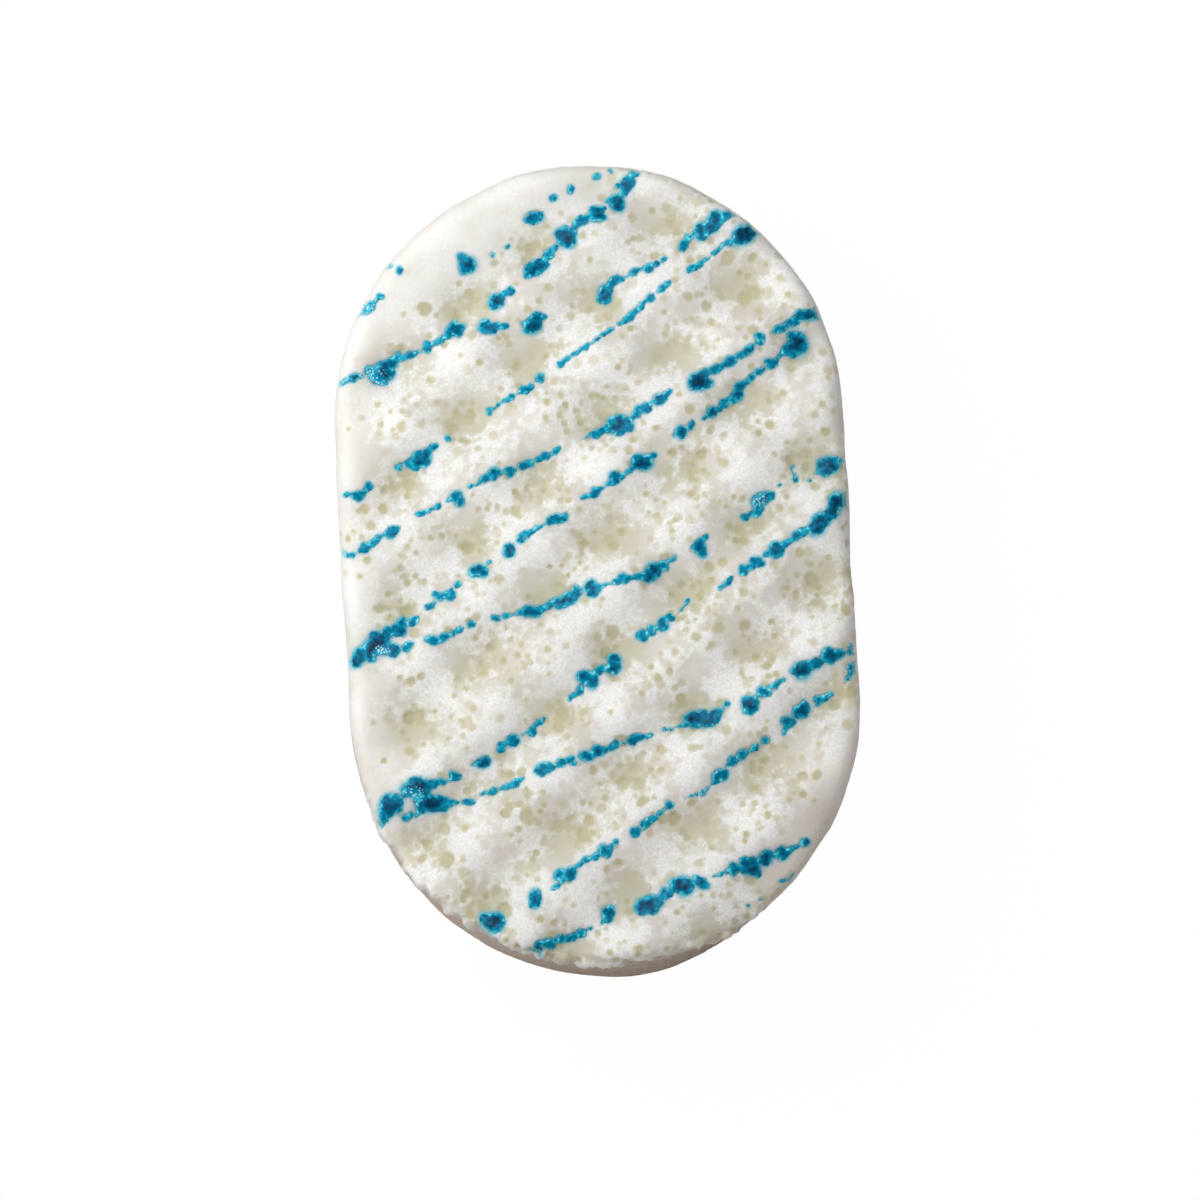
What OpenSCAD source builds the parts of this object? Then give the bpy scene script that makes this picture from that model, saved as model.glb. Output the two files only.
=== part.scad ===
// Soap sponge: an oval block of open-cell foam with soap soaked all through it.
// Its top face is an egg crate of staggered dimples, open here and there in large pores,
// and blue soap lies across it in slanting strands of beads.
// The origin is at the middle of the base. The length runs along Y, and Z points up.

/* [Foam block] */
// Length of the block, end to end
length = 142; // [125:1:180]
// Width of the block, which is also the diameter of its round ends
width = 90; // [75:1:110]
// Thickness of the block, from the base to the peaks of the top face
thickness = 42; // [30:1:60]
// Radius of the rounded edge round the top face
top_edge = 5; // [3:0.5:8]
// Radius of the rounded edge round the base
base_edge = 2; // [1:0.5:4]

/* [Egg-crate face] */
// Depth of the dimples below the peaks
crate_depth = 3.5; // [2:0.5:8]
// Distance between the dimples of a row, across the block
crate_pitch_x = 24.6; // [20:0.2:32]
// Distance between every other row of dimples, along the block
crate_pitch_y = 21.2; // [18:0.2:32]
// How far the middle dimple lies to the right of the block's middle
crate_x = 3; // [-10:0.5:10]
// How far the middle dimple lies beyond the block's middle
crate_y = 5; // [-10:0.5:10]
// Facets along each dimple pitch
crate_steps = 6; // [5:1:8]

/* [Pores] */
// Diameter of the smallest of the large pores
pore_min = 1.8; // [1.2:0.1:2.4]
// Diameter of the largest pore
pore_max = 3.8; // [2.6:0.1:4.5]
// Distance between pores, before they are scattered
pore_spacing = 11; // [9:0.5:20]

/* [Blue drizzle] */
// Distance between the beads of a strand
bead_pitch = 5; // [4:0.5:8]
// Height of a bead above the foam, as a share of its width
bead_rise = 0.4; // [0.25:0.05:0.6]
// Width of the widest drop, which the other drops and the beads take their size from
drop_width = 5; // [3.5:0.5:6.5]
// Width of the necks between beads, as a share of the beads' width
neck_share = 0.6; // [0.4:0.05:0.9]
// How far the beads' widths and places stray, as a share of their width
bead_scatter = 0.15; // [0:0.05:0.25]
// Width of the narrow end of a large drop, as a share of its width
drop_taper = 0.8; // [0.5:0.05:1]
// How far inside the block's outline the strands end
rim_inset = 1; // [0.5:0.1:3]
// Gap left under the beads that lie on the rounded edge
edge_clearance = 0.1; // [0.05:0.05:0.3]

/* [Hidden] */
foam_colour = [0.93, 0.91, 0.86];
soap_colour = [0.02, 0.44, 0.58];
// Half the length of the straight sides
half_straight = (length - width) / 2;
// How far the blank of the egg-crate face reaches past the block
blank_margin = 2;
// How far the block stands above the peaks before its top face is cut
peak_trim = 1;
// Sides of the rings that make a strand, and of the blobs that make a large drop
ring_sides = 6;
// How far a strand's tip goes past its end bead, as a share of the way to the next neck
tip_reach = 0.4;
// Width of a strand's tip, as a share of its end bead's width
tip_share = 0.3;
// Large drops of the drizzle: [across, along, length, width, angle]. The first two are
// the place, in percent of the half width and of the half length from the middle. The
// sizes are in percent of the widest drop's width, and the angle is from the X axis.
DROPS = [
    [-44, 76, 88, 80, 0], [-17, 87, 92, 56, 0], [20, 94, 84, 68, 40], [-80, 50, 120, 92, 20],
    [-51, 60, 84, 68, 20], [-16, 75, 92, 68, 10], [-5, 82, 80, 72, 50], [8, 87, 80, 68, 80],
    [54, 84, 92, 72, 40], [9, 67, 92, 68, 90], [84, 52, 120, 92, 100], [12, 34, 140, 84, 15],
    [-67, 28, 112, 72, 25], [93, 21, 104, 88, 0], [-88, -18, 140, 100, 30], [78, -30, 96, 84, 0],
    [57, -38, 84, 76, 90], [39, -41, 112, 68, 0], [-75, -54, 160, 84, 10], [-71, -58, 128, 84, 10],
    [-87, -59, 104, 72, 50], [77, -40, 92, 68, 30], [-48, -88, 116, 96, 0], [54, -78, 88, 80, 0],
    [13, -86, 120, 88, 10], [-31, -83, 92, 64, 90], [-25, -51, 80, 64, 10],
];
// Strands of the drizzle, from the right or top to the left or bottom. A knot is
// [across, along, bead width], in the same percentages.
STRANDS = [
    // first strand, from the top to the left side, and the streak above it
    [[26, 98, 24], [20, 94, 48], [18, 92, 32], [15, 90, 60], [11, 90, 44]],
    [[8, 87, 60], [2, 86, 48], [-5, 82, 60], [-12, 78, 48], [-16, 75, 60], [-23, 72, 56]],
    [[-28, 69, 36], [-34, 66, 64], [-39, 64, 44]],
    [[-15, 62, 32], [-21, 61, 56], [-34, 60, 52], [-43, 60, 60]],
    [[-49, 60, 60], [-58, 57, 48], [-70, 54, 36], [-77, 54, 20]],
    [[-78, 52, 60], [-91, 49, 52], [-96, 48, 56]],
    [[-79, 69, 28], [-86, 66, 64], [-89, 65, 48]],
    // second strand, ending in a drop
    [[61, 85, 52], [53, 83, 60], [43, 80, 52], [40, 77, 36]],
    [[30, 74, 28], [21, 72, 40], [14, 70, 24], [9, 68, 48]],
    // third strand, thin
    [[71, 81, 32], [66, 80, 60], [56, 77, 28], [47, 73, 44], [40, 71, 36]],
    [[34, 68, 40], [26, 65, 28], [19, 61, 44], [9, 57, 24], [-5, 52, 28], [-11, 50, 44]],
    [[-18, 47, 32], [-24, 44, 36], [-40, 39, 24]],
    // fourth strand, from the drop at the right side through a lens-shaped drop
    [[92, 60, 40], [84, 58, 60], [74, 55, 56]],
    [[69, 53, 36], [63, 50, 44], [50, 46, 52], [44, 44, 68], [40, 43, 28]],
    [[32, 41, 52], [20, 37, 40], [12, 34, 60], [5, 33, 52], [-3, 31, 20]],
    [[-12, 29, 24], [-18, 27, 44], [-32, 24, 32], [-38, 23, 48], [-48, 20, 24]],
    [[-53, 18, 48], [-61, 16, 28], [-71, 14, 48]],
    [[-77, 11, 36], [-87, 8, 52], [-95, 5, 44], [-99, 5, 24]],
    // fifth strand, from the same drop
    [[83, 53, 48], [73, 47, 60], [65, 44, 48], [57, 39, 60], [45, 34, 36]],
    [[40, 33, 52], [34, 30, 44]],
    [[25, 26, 52], [20, 24, 64], [15, 22, 32], [1, 17, 48], [-4, 16, 20]],
    [[-11, 12, 32], [-16, 11, 60], [-22, 9, 24], [-28, 7, 52], [-34, 4, 44]],
    [[-46, 0, 48], [-48, -2, 28]],
    [[-55, -4, 24], [-62, -7, 44], [-68, -9, 40]],
    [[-73, -12, 60], [-81, -14, 48], [-88, -17, 60], [-98, -22, 48]],
    // sixth strand, and a streak and a drop at the left side
    [[-61, 31, 48], [-67, 28, 60], [-78, 26, 28]],
    [[-87, 22, 44], [-91, 20, 48], [-98, 20, 36]],
    [[44, 5, 28], [41, 2, 60], [37, 2, 32]],
    [[31, 0, 20], [26, -2, 60], [19, -4, 52], [9, -5, 36], [3, -6, 28], [-2, -7, 60]],
    [[-8, -7, 44], [-16, -10, 52], [-28, -11, 48], [-33, -12, 20], [-42, -13, 44]],
    [[-50, -14, 48], [-61, -17, 52], [-70, -18, 40]],
    [[-75, -19, 52], [-87, -20, 60]],
    // right side, above the seventh strand
    [[98, 22, 32], [92, 21, 52], [87, 19, 20]],
    [[79, 21, 28], [80, 18, 24]],
    [[70, 14, 28], [62, 13, 64]],
    [[66, 11, 24], [57, 9, 56]],
    // seventh strand
    [[99, 12, 52], [94, 10, 64], [89, 6, 56], [80, 4, 48], [70, 0, 60], [48, -8, 48]],
    [[35, -11, 28], [31, -14, 20]],
    [[28, -15, 44], [20, -18, 56], [14, -20, 28]],
    [[5, -25, 60], [-1, -27, 48], [-9, -32, 52], [-14, -34, 24]],
    [[-24, -38, 24], [-29, -41, 52], [-32, -42, 24]],
    [[-37, -43, 48], [-42, -45, 36]],
    [[-48, -48, 52], [-54, -49, 24]],
    [[-60, -52, 48], [-75, -54, 60], [-85, -57, 64], [-91, -64, 56]],
    // eighth strand, to the pool at the lower left
    [[98, -26, 48], [89, -27, 60], [84, -29, 48], [78, -30, 60]],
    [[71, -32, 36], [62, -35, 40], [57, -38, 48]],
    [[48, -37, 28], [43, -40, 56], [36, -41, 60], [29, -42, 24], [23, -43, 20]],
    [[18, -44, 24], [10, -45, 48], [-8, -48, 48], [-19, -50, 40], [-25, -51, 60]],
    [[-33, -53, 28], [-41, -55, 48], [-50, -56, 44]],
    [[-54, -58, 40], [-68, -58, 52], [-82, -62, 44]],
    // ninth strand
    [[99, -30, 60], [95, -33, 44]],
    [[89, -36, 48], [83, -38, 40]],
    [[77, -40, 60], [73, -43, 44], [68, -46, 40]],
    [[62, -47, 52], [57, -49, 20], [53, -50, 56], [44, -55, 52], [37, -59, 44], [30, -60, 20]],
    [[23, -62, 36], [16, -65, 36], [9, -68, 60]],
    [[2, -70, 36], [-3, -72, 52], [-13, -75, 20], [-18, -78, 56], [-24, -81, 36]],
    // tenth strand, along the lower end, and the lower right corner
    [[75, -73, 56], [67, -75, 40], [60, -76, 52], [54, -78, 60], [48, -78, 36], [39, -80, 28]],
    [[34, -81, 48], [26, -82, 64], [19, -84, 28], [12, -86, 60], [7, -87, 56]],
    [[-2, -88, 44], [-6, -90, 44]],
    [[-10, -91, 20], [-19, -93, 44], [-27, -94, 52], [-36, -96, 44]],
    [[80, -76, 40], [76, -79, 52]],
    [[70, -81, 24], [65, -82, 36]],
];

// Height of the egg-crate face over a point of the plan
function face_z(p) =
    thickness - crate_depth / 2
        * (1 + cos(360 * (p.x - crate_x) / crate_pitch_x) * cos(360 * (p.y - crate_y) / crate_pitch_y));

// How far a point of the plan lies inside the block's outline
function inset(p) = width / 2 - norm([p.x, max(0, abs(p.y) - half_straight)]);

// Height of the rounded edge over a point of the plan
function edge_z(p) =
    thickness + peak_trim - top_edge + sqrt(top_edge ^ 2 - max(0, top_edge - max(0, inset(p))) ^ 2);

// Height of the foam's top over a point of the plan: the lower of face and rounded edge
function skin_z(p) = min(face_z(p), edge_z(p));

// Half of the block's section, from its middle plane to the side, with both edges rounded.
// grow makes it that much wider and taller.
module half_section(grow = 0) {
    r = width / 2 + grow;
    h = thickness + peak_trim + grow;
    square([r - top_edge, h]);
    square([r - base_edge, thickness / 2]);
    translate([0, base_edge])
        square([r, h - base_edge - top_edge]);
    translate([r - top_edge, h - top_edge])
        circle(top_edge, $fn = 48);
    translate([r - base_edge, base_edge])
        circle(base_edge, $fn = 32);
}

// Half-round end of the block, on its far side
module round_end(grow = 0) {
    translate([0, half_straight, 0])
        rotate_extrude(angle = 180, $fn = 96)
            half_section(grow);
}

// The block before its top face is shaped: two half-round ends and a straight middle
module rounded_block(grow = 0) {
    round_end(grow);
    rotate(180)
        round_end(grow);
    rotate([90, 0, 0])
        linear_extrude(length - width, center = true) {
            half_section(grow);
            mirror([1, 0])
                half_section(grow);
        }
}

// Everything under the egg-crate face, as a rectangular blank a little larger than the block
module crate_blank() {
    step = [crate_pitch_x / crate_steps, crate_pitch_y / crate_steps];
    cols = ceil((width / 2 + abs(crate_x) + blank_margin) / step.x);
    rows = ceil((length / 2 + abs(crate_y) + blank_margin) / step.y);
    xs = [for (i = [-cols:cols]) crate_x + i * step.x];
    ys = [for (j = [-rows:rows]) crate_y + j * step.y];
    nx = len(xs);
    ny = len(ys);
    top = [for (x = xs) for (y = ys) [x, y, face_z([x, y])]];
    // the rim of the grid, anticlockwise from its corner
    rim = concat(
        [for (i = [0:nx - 2]) i * ny],
        [for (j = [0:ny - 2]) (nx - 1) * ny + j],
        [for (i = [nx - 1:-1:1]) i * ny + ny - 1],
        [for (j = [ny - 1:-1:1]) j]
    );
    n = len(rim);
    b = nx * ny;
    bottom = concat([for (k = rim) [top[k].x, top[k].y, -blank_margin]], [[0, 0, -blank_margin]]);
    faces = concat(
        [for (i = [0:nx - 2]) for (j = [0:ny - 2]) [i * ny + j, i * ny + j + 1, (i + 1) * ny + j + 1]],
        [for (i = [0:nx - 2]) for (j = [0:ny - 2]) [i * ny + j, (i + 1) * ny + j + 1, (i + 1) * ny + j]],
        [for (k = [0:n - 1]) [rim[k], rim[(k + 1) % n], b + (k + 1) % n, b + k]],
        [for (k = [0:n - 1]) [b + k, b + (k + 1) % n, b + n]]
    );
    polyhedron(concat(top, bottom), faces);
}

// The block with its egg-crate face, before the pores are opened
module foam_shape(grow = 0) {
    intersection() {
        rounded_block(grow);
        crate_blank();
    }
}

// Large pores of the foam that open in the top face: a scattered grid of round pits
module pores() {
    cols = floor(width / 2 / pore_spacing);
    rows = floor(length / 2 / pore_spacing);
    scatter = (pore_spacing - pore_max) / 2;
    for (i = [-cols:cols])
        for (j = [-rows:rows]) {
            r = rands(-1, 1, 3, 100 * (i + cols) + j + rows);
            p = [i + (j % 2 == 0 ? 0 : 0.5), j] * pore_spacing + [r[0], r[1]] * scatter;
            d = (pore_min + pore_max) / 2 + r[2] * (pore_max - pore_min) / 2;
            if (inset(p) > top_edge + pore_max / 2)
                translate([p.x, p.y, face_z(p) + d / 6])
                    sphere(d = d, $fn = 16);
        }
}

// The foam block, with the soap that fills it
module sponge() {
    color(foam_colour)
        difference() {
            foam_shape();
            pores();
        }
}

// Place on the face of a knot or a large drop
function spot(k) = [k[0] * width / 200, k[1] * length / 200];

// A ball of soap of diameter d, flattened and sunk to its middle in the face at point p
module blob(p, d) {
    translate([p.x, p.y, skin_z(p)])
        scale([1, 1, 2 * bead_rise])
            sphere(d = d, $fn = ring_sides);
}

// A large drop: a blob drawn out into a smaller one
module large_drop(drop) {
    d = drop[3] * drop_width / 100;
    half_length = [cos(drop[4]), sin(drop[4])] * (drop[2] - drop[3]) * drop_width / 200;
    hull() {
        blob(spot(drop) - half_length, d);
        blob(spot(drop) + half_length, drop_taper * d);
    }
}

// Beads and necks of a strand as [across, along, width, neck]: a bead (0) at each knot and,
// between knots that lie far apart, more beads, with a neck (1) halfway between two beads
function beads_and_necks(knots) = [
    for (k = [0:len(knots) - 2])
        let (
            a = knots[k],
            b = knots[k + 1],
            n = 2 * max(1, round(norm(spot(b) - spot(a)) / bead_pitch))
        )
        for (i = [0:n - 1]) concat(a + (b - a) * i / n, i % 2),
    concat(knots[len(knots) - 1], 0)
];

// Tip of a strand that goes past its end bead, away from the next neck
function tip(end, next) =
    let (t = end + (end - next) * tip_reach) [t.x, t.y, end[2] * tip_share];

// Line of a strand, from tip to tip, as [x, y, width]
function strand_line(knots, seed) =
    let (
        marks = beads_and_necks(knots),
        last = len(marks) - 1,
        stray = rands(-bead_scatter, bead_scatter, 2 * len(marks), seed),
        line = [for (i = [0:last])
            let (
                p = spot(marks[i]),
                share = (marks[i][3] == 1 ? neck_share : 1) * (1 + stray[i]),
                w = marks[i][2] * drop_width / 100 * share
            )
            [p.x, p.y + w * stray[i + last + 1], w]]
    )
    concat([tip(line[0], line[1])], line, [tip(line[last], line[last - 1])]);

// A strand of beads: rings along its line, each sunk to its middle in the face
module strand(knots, seed) {
    line = strand_line(knots, seed);
    last = len(line) - 1;
    points = [for (i = [0:last])
        let (
            ahead = line[min(i + 1, last)] - line[max(i - 1, 0)],
            side = [ahead.y, -ahead.x] / norm([ahead.x, ahead.y]) * line[i][2] / 2,
            p = [line[i].x, line[i].y]
        )
        for (k = [0:ring_sides - 1])
            let (a = 360 * k / ring_sides, q = p + side * cos(a))
            [q.x, q.y, skin_z(p) + bead_rise * line[i][2] * sin(a)]];
    walls = [for (i = [0:last - 1]) for (k = [0:ring_sides - 1])
        let (a = ring_sides * i + k, b = ring_sides * i + (k + 1) % ring_sides)
        each [[a, b, b + ring_sides], [a, b + ring_sides, a + ring_sides]]];
    ends = [
        [for (k = [ring_sides - 1:-1:0]) k],
        [for (k = [0:ring_sides - 1]) ring_sides * last + k]
    ];
    polyhedron(points, concat(walls, ends));
}

// The blue soap: all strands, cut to sit on the face and to end at the block's outline
module drizzle() {
    color(soap_colour)
        intersection() {
            difference() {
                union() {
                    for (s = [0:len(STRANDS) - 1])
                        strand(STRANDS[s], s);
                    for (drop = DROPS)
                        large_drop(drop);
                }
                foam_shape(edge_clearance);
            }
            translate([0, 0, thickness - crate_depth - top_edge])
                linear_extrude(2 * (crate_depth + top_edge))
                    hull()
                        for (side = [-1, 1])
                            translate([0, side * half_straight])
                                circle(width / 2 - rim_inset, $fn = 96);
        }
}

sponge();
drizzle();
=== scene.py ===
# %% [markdown]
# # A soap sponge
# An oval bath sponge: a block of white foam with pale soap soaked all through it, an
# egg-crate top face, and blue soap drizzled across the face in slanting strands.
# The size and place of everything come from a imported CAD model, the frame. This script
# dresses the frame: it makes the foam look like foam and the soap like soap.

# %% Load the frame
import math
import random

import bpy
import numpy as np
from mathutils import Matrix, Vector, kdtree, noise


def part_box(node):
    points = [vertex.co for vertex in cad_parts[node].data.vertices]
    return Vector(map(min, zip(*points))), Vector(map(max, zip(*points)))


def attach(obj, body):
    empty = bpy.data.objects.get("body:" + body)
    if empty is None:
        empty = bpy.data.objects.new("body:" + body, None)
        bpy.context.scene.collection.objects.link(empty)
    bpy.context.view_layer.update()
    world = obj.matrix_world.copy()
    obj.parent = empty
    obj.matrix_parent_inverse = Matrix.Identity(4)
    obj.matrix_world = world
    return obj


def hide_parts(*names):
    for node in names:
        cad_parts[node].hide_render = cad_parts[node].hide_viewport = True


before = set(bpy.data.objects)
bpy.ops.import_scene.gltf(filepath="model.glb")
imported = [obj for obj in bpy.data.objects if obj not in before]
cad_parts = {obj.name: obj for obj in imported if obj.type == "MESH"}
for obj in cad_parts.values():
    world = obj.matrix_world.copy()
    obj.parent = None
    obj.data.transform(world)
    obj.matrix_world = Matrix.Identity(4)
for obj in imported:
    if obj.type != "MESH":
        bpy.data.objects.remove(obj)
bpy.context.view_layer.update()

print("CAD nodes:", sorted(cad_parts))

# %% [markdown]
# ## Sizes
# Blender works in metres and the sponge is small, so lengths are written in millimetres
# and multiplied by `mm`. The block's own size is read from the frame. The dimples repeat
# the numbers of the CAD model, because both have to rise and fall in the same places.
# Only the rim differs: the CAD model rounds it by 5 mm, and here it is crisper.

# %% Sizes of the block and of its face
mm = 0.001
low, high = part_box("sponge")
half_width, half_length, top = high.x, high.y, high.z
half_straight = half_length - half_width

top_edge = 3 * mm
base_edge = 2 * mm
crate_depth = 3.5 * mm
crate_pitch = (24.6 * mm, 21.2 * mm)
crate_centre = (3 * mm, 5 * mm)
print(f"block {2 * half_width / mm:.0f} x {2 * half_length / mm:.0f} x {top / mm:.0f} mm")

# %% [markdown]
# ## The shape of the face
# The top of a real egg-crate foam is cut by a machine that squeezes it between knobs, so
# it comes out as smooth hills and dimples in staggered rows. Two cosine waves multiplied
# together give just that. `inset` says how far a point lies inside the oval outline, and
# with it the rounded edge is one quarter of a circle. Foam is never quite true, so a
# slow noise adds lumps. Every piece that lies on the face uses `skin_height`.

# %% Height of the face at any point of the plan
lump_height = 0.35 * mm
lump_size = 9 * mm
# down the wall the dimples fade out between these two depths below the top
crate_fade = (20 * mm, 5 * mm)
# share of a dimple's depth that thickly poured soap fills
soap_fill = 0.65


def smoothstep(a, b, value):
    t = np.clip((value - a) / (b - a), 0, 1)
    return t * t * (3 - 2 * t)


def ripple(x, y, z, size, octaves=2):
    """Fractal noise, about -1 to 1, one value for each point, with bumps of about this size."""
    points = np.column_stack([x, y, z]) / size
    return np.array([noise.fractal(Vector(p), 1.0, 2.0, octaves) for p in points])


def inset(x, y):
    return half_width - np.hypot(x, np.maximum(0, np.abs(y) - half_straight))


def hollow(x, y):
    """1 at the bottom of a dimple and 0 on a peak."""
    wave_x = np.cos(2 * math.pi * (x - crate_centre[0]) / crate_pitch[0])
    wave_y = np.cos(2 * math.pi * (y - crate_centre[1]) / crate_pitch[1])
    return (1 + wave_x * wave_y) / 2


def poured(x, y, bend=0.0):
    """1 where soap was poured on thickly: over the upper end and along the left side."""
    across, along = x / half_width, y / half_length
    upper_end = smoothstep(0.80, 1.0, along - 0.42 * across + bend)
    left_side = smoothstep(0.74, 1.0, bend - across)
    return np.maximum(upper_end, left_side)


def sag(x, y, z):
    """How far the block's surface at a point is pressed down to make the dimples."""
    depth = crate_depth * (1 - soap_fill * poured(x, y)) * hollow(x, y)
    return depth * smoothstep(top - crate_fade[0], top - crate_fade[1], z)


def lumps(x, y):
    return lump_height * ripple(x, y, 0 * x, lump_size)


def skin_height(x, y):
    round_off = np.clip(top_edge - inset(x, y), 0, top_edge)
    z = top - top_edge + np.sqrt(top_edge**2 - round_off**2)
    return z - sag(x, y, z) + lumps(x, y)


centre = skin_height(np.array([crate_centre[0]]), np.array([crate_centre[1]]))[0]
print(f"middle dimple is {(top - centre) / mm:.1f} mm below the highest peak")

# %% [markdown]
# ## Where the blue soap lies
# The blue soap was drizzled on from side to side, and broke into strands of beads with
# gaps and some large drops. `DROPS` and `STRANDS` are the lists of the CAD model. A drop
# is [across, along, length, width, angle], and a knot of a strand is [across, along,
# width]: places in percent of the half width and half length from the middle, sizes in
# percent of the widest drop, and angles in degrees from the X axis. The specks and the
# bubbles are only here.

# %% Drops and strands
drop_width = 5 * mm

DROPS = [
    [-44, 76, 88, 80, 0], [-17, 87, 92, 56, 0], [20, 94, 84, 68, 40], [-80, 50, 120, 92, 20],
    [-51, 60, 84, 68, 20], [-16, 75, 92, 68, 10], [-5, 82, 80, 72, 50], [8, 87, 80, 68, 80],
    [54, 84, 92, 72, 40], [9, 67, 92, 68, 90], [84, 52, 120, 92, 100], [12, 34, 140, 84, 15],
    [-67, 28, 112, 72, 25], [93, 21, 104, 88, 0], [-88, -18, 140, 100, 30], [78, -30, 96, 84, 0],
    [57, -38, 84, 76, 90], [39, -41, 112, 68, 0], [-75, -54, 160, 84, 10], [-71, -58, 128, 84, 10],
    [-87, -59, 104, 72, 50], [77, -40, 92, 68, 30], [-48, -88, 116, 96, 0], [54, -78, 88, 80, 0],
    [13, -86, 120, 88, 10], [-31, -83, 92, 64, 90], [-25, -51, 80, 64, 10],
]

STRANDS = [
    # first strand, from the top to the left side, and the streak above it
    [[26, 98, 24], [20, 94, 48], [18, 92, 32], [15, 90, 60], [11, 90, 44]],
    [[8, 87, 60], [2, 86, 48], [-5, 82, 60], [-12, 78, 48], [-16, 75, 60], [-23, 72, 56]],
    [[-28, 69, 36], [-34, 66, 64], [-39, 64, 44]],
    [[-15, 62, 32], [-21, 61, 56], [-34, 60, 52], [-43, 60, 60]],
    [[-49, 60, 60], [-58, 57, 48], [-70, 54, 36], [-77, 54, 20]],
    [[-78, 52, 60], [-91, 49, 52], [-96, 48, 56]],
    [[-79, 69, 28], [-86, 66, 64], [-89, 65, 48]],
    # second strand, ending in a drop
    [[61, 85, 52], [53, 83, 60], [43, 80, 52], [40, 77, 36]],
    [[30, 74, 28], [21, 72, 40], [14, 70, 24], [9, 68, 48]],
    # third strand, thin
    [[71, 81, 32], [66, 80, 60], [56, 77, 28], [47, 73, 44], [40, 71, 36]],
    [[34, 68, 40], [26, 65, 28], [19, 61, 44], [9, 57, 24], [-5, 52, 28], [-11, 50, 44]],
    [[-18, 47, 32], [-24, 44, 36], [-40, 39, 24]],
    # fourth strand, from the drop at the right side through a lens-shaped drop
    [[92, 60, 40], [84, 58, 60], [74, 55, 56]],
    [[69, 53, 36], [63, 50, 44], [50, 46, 52], [44, 44, 68], [40, 43, 28]],
    [[32, 41, 52], [20, 37, 40], [12, 34, 60], [5, 33, 52], [-3, 31, 20]],
    [[-12, 29, 24], [-18, 27, 44], [-32, 24, 32], [-38, 23, 48], [-48, 20, 24]],
    [[-53, 18, 48], [-61, 16, 28], [-71, 14, 48]],
    [[-77, 11, 36], [-87, 8, 52], [-95, 5, 44], [-99, 5, 24]],
    # fifth strand, from the same drop
    [[83, 53, 48], [73, 47, 60], [65, 44, 48], [57, 39, 60], [45, 34, 36]],
    [[40, 33, 52], [34, 30, 44]],
    [[25, 26, 52], [20, 24, 64], [15, 22, 32], [1, 17, 48], [-4, 16, 20]],
    [[-11, 12, 32], [-16, 11, 60], [-22, 9, 24], [-28, 7, 52], [-34, 4, 44]],
    [[-46, 0, 48], [-48, -2, 28]],
    [[-55, -4, 24], [-62, -7, 44], [-68, -9, 40]],
    [[-73, -12, 60], [-81, -14, 48], [-88, -17, 60], [-98, -22, 48]],
    # sixth strand, and a streak and a drop at the left side
    [[-61, 31, 48], [-67, 28, 60], [-78, 26, 28]],
    [[-87, 22, 44], [-91, 20, 48], [-98, 20, 36]],
    [[44, 5, 28], [41, 2, 60], [37, 2, 32]],
    [[31, 0, 20], [26, -2, 60], [19, -4, 52], [9, -5, 36], [3, -6, 28], [-2, -7, 60]],
    [[-8, -7, 44], [-16, -10, 52], [-28, -11, 48], [-33, -12, 20], [-42, -13, 44]],
    [[-50, -14, 48], [-61, -17, 52], [-70, -18, 40]],
    [[-75, -19, 52], [-87, -20, 60]],
    # right side, above the seventh strand
    [[98, 22, 32], [92, 21, 52], [87, 19, 20]],
    [[79, 21, 28], [80, 18, 24]],
    [[70, 14, 28], [62, 13, 64]],
    [[66, 11, 24], [57, 9, 56]],
    # seventh strand
    [[99, 12, 52], [94, 10, 64], [89, 6, 56], [80, 4, 48], [70, 0, 60], [48, -8, 48]],
    [[35, -11, 28], [31, -14, 20]],
    [[28, -15, 44], [20, -18, 56], [14, -20, 28]],
    [[5, -25, 60], [-1, -27, 48], [-9, -32, 52], [-14, -34, 24]],
    [[-24, -38, 24], [-29, -41, 52], [-32, -42, 24]],
    [[-37, -43, 48], [-42, -45, 36]],
    [[-48, -48, 52], [-54, -49, 24]],
    [[-60, -52, 48], [-75, -54, 60], [-85, -57, 64], [-91, -64, 56]],
    # eighth strand, to the pool at the lower left
    [[98, -26, 48], [89, -27, 60], [84, -29, 48], [78, -30, 60]],
    [[71, -32, 36], [62, -35, 40], [57, -38, 48]],
    [[48, -37, 28], [43, -40, 56], [36, -41, 60], [29, -42, 24], [23, -43, 20]],
    [[18, -44, 24], [10, -45, 48], [-8, -48, 48], [-19, -50, 40], [-25, -51, 60]],
    [[-33, -53, 28], [-41, -55, 48], [-50, -56, 44]],
    [[-54, -58, 40], [-68, -58, 52], [-82, -62, 44]],
    # ninth strand
    [[99, -30, 60], [95, -33, 44]],
    [[89, -36, 48], [83, -38, 40]],
    [[77, -40, 60], [73, -43, 44], [68, -46, 40]],
    [[62, -47, 52], [57, -49, 20], [53, -50, 56], [44, -55, 52], [37, -59, 44], [30, -60, 20]],
    [[23, -62, 36], [16, -65, 36], [9, -68, 60]],
    [[2, -70, 36], [-3, -72, 52], [-13, -75, 20], [-18, -78, 56], [-24, -81, 36]],
    # tenth strand, along the lower end, and the lower right corner
    [[75, -73, 56], [67, -75, 40], [60, -76, 52], [54, -78, 60], [48, -78, 36], [39, -80, 28]],
    [[34, -81, 48], [26, -82, 64], [19, -84, 28], [12, -86, 60], [7, -87, 56]],
    [[-2, -88, 44], [-6, -90, 44]],
    [[-10, -91, 20], [-19, -93, 44], [-27, -94, 52], [-36, -96, 44]],
    [[80, -76, 40], [76, -79, 52]],
    [[70, -81, 24], [65, -82, 36]],
]

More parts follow.
